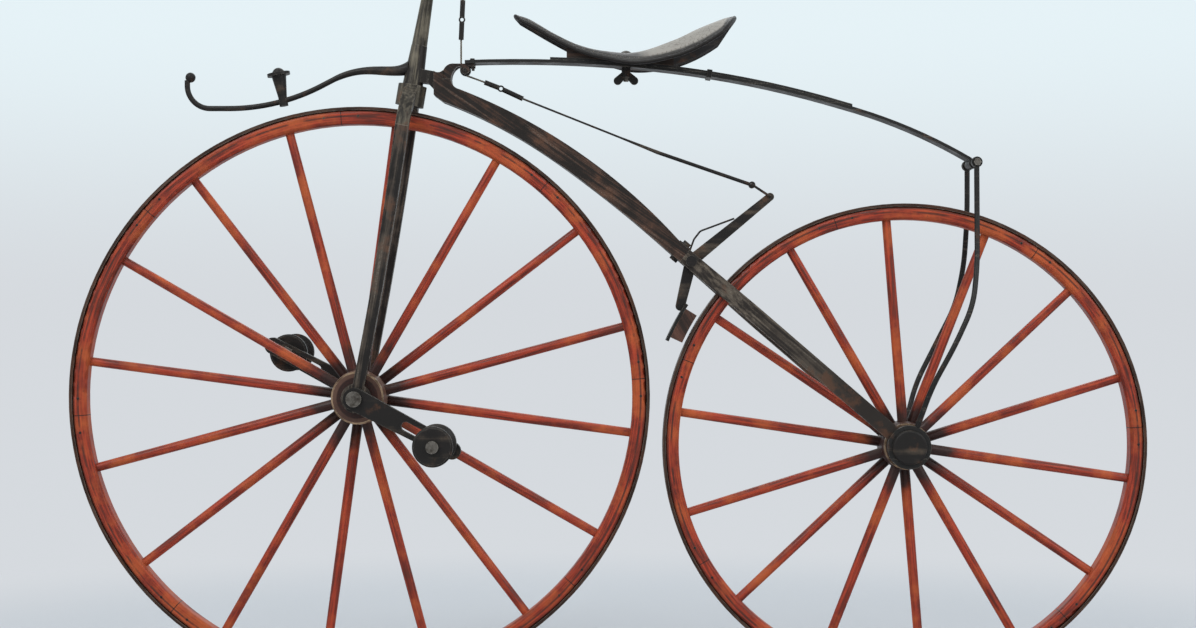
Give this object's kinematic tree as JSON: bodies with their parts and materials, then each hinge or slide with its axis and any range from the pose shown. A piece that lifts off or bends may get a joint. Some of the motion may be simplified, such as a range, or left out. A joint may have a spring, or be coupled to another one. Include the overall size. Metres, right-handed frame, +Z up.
{
  "type": "boneshaker velocipede",
  "caption": "Front-crank velocipede with wooden wheels, curved iron backbone, long leaf spring under a leather saddle, and a cord-worked block brake on the rear tyre.",
  "frame": {"origin": "top of the saddle's ridge at its low point, where the rider sits", "axes": "+X to the rear (it faces -X), +Y to its right side, +Z up, standing straight on both wheels"},
  "size_m": [1.696, 0.616, 1.1997],
  "materials": {
    "black_iron": "worn",
    "iron_tyre": "worn",
    "bright_steel": "worn",
    "nave_brass": "worn",
    "red_wood": "worn paint",
    "brown_wood": "bare",
    "leather": "worn",
    "cord": "rough"
  },
  "bodies": {
    "frame": {"head_socket": "black_iron", "backbone": "black_iron", "cord_pulley": "nave_brass", "rear_legs": "black_iron", "rear_axle": "bright_steel", "rear_axle_caps": "black_iron", "stays": "black_iron", "shackle_bolt": "bright_steel", "long_spring_leaf": "black_iron", "short_spring_leaf": "black_iron", "spring_fixings": "bright_steel", "saddle": "leather", "saddle_block": "brown_wood", "saddle_bolt": "bright_steel", "wing_nut": "bright_steel", "leg_rest": "black_iron", "lamp_bracket": "black_iron", "brake_lever": "black_iron", "brake_block": "brown_wood", "leg_bolts": "bright_steel", "return_spring": "bright_steel", "brake_rod": "black_iron", "brake_link": "bright_steel", "brake_cord": "cord", "cord_hooks": "bright_steel", "upper_brake_cord": "cord"},
    "fork": {"fork_blades": "black_iron", "fork_crown": "black_iron", "steering_post": "black_iron", "handlebar": "black_iron", "grips": "brown_wood", "winding_yoke": "black_iron"},
    "front_wheel": {"front_tyre": "iron_tyre", "front_felloes": "red_wood", "front_spokes": "red_wood", "front_nave": "red_wood", "front_nave_bands": "nave_brass", "front_axle": "bright_steel", "cranks": "black_iron", "pedal_pins": "bright_steel"},
    "rear_wheel": {"rear_tyre": "iron_tyre", "rear_felloes": "red_wood", "rear_spokes": "red_wood", "rear_nave": "red_wood", "rear_nave_bands": "nave_brass"},
    "left_pedal": {"left_pedal": "black_iron"},
    "right_pedal": {"right_pedal": "black_iron"}
  },
  "joints": [
    {"name": "steering", "type": "hinge", "parent": "frame", "child": "fork", "pos_m": [-0.31281, 0, 0.18581], "axis": [0.1656, 0, 0.9862], "range_deg": [-35, 35]},
    {"name": "front_wheel_spin", "type": "hinge", "parent": "fork", "child": "front_wheel", "pos_m": [-0.435, 0, -0.542], "axis": [0, 1, 0], "continuous": true},
    {"name": "rear_wheel_spin", "type": "hinge", "parent": "frame", "child": "rear_wheel", "pos_m": [0.423, 0, -0.618], "axis": [0, 1, 0], "continuous": true},
    {"name": "left_pedal_spin", "type": "hinge", "parent": "front_wheel", "child": "left_pedal", "pos_m": [-0.30674, -0.145, -0.60963], "axis": [0, 1, 0], "continuous": true},
    {"name": "right_pedal_spin", "type": "hinge", "parent": "front_wheel", "child": "right_pedal", "pos_m": [-0.56326, 0.145, -0.47437], "axis": [0, 1, 0], "continuous": true}
  ]
}
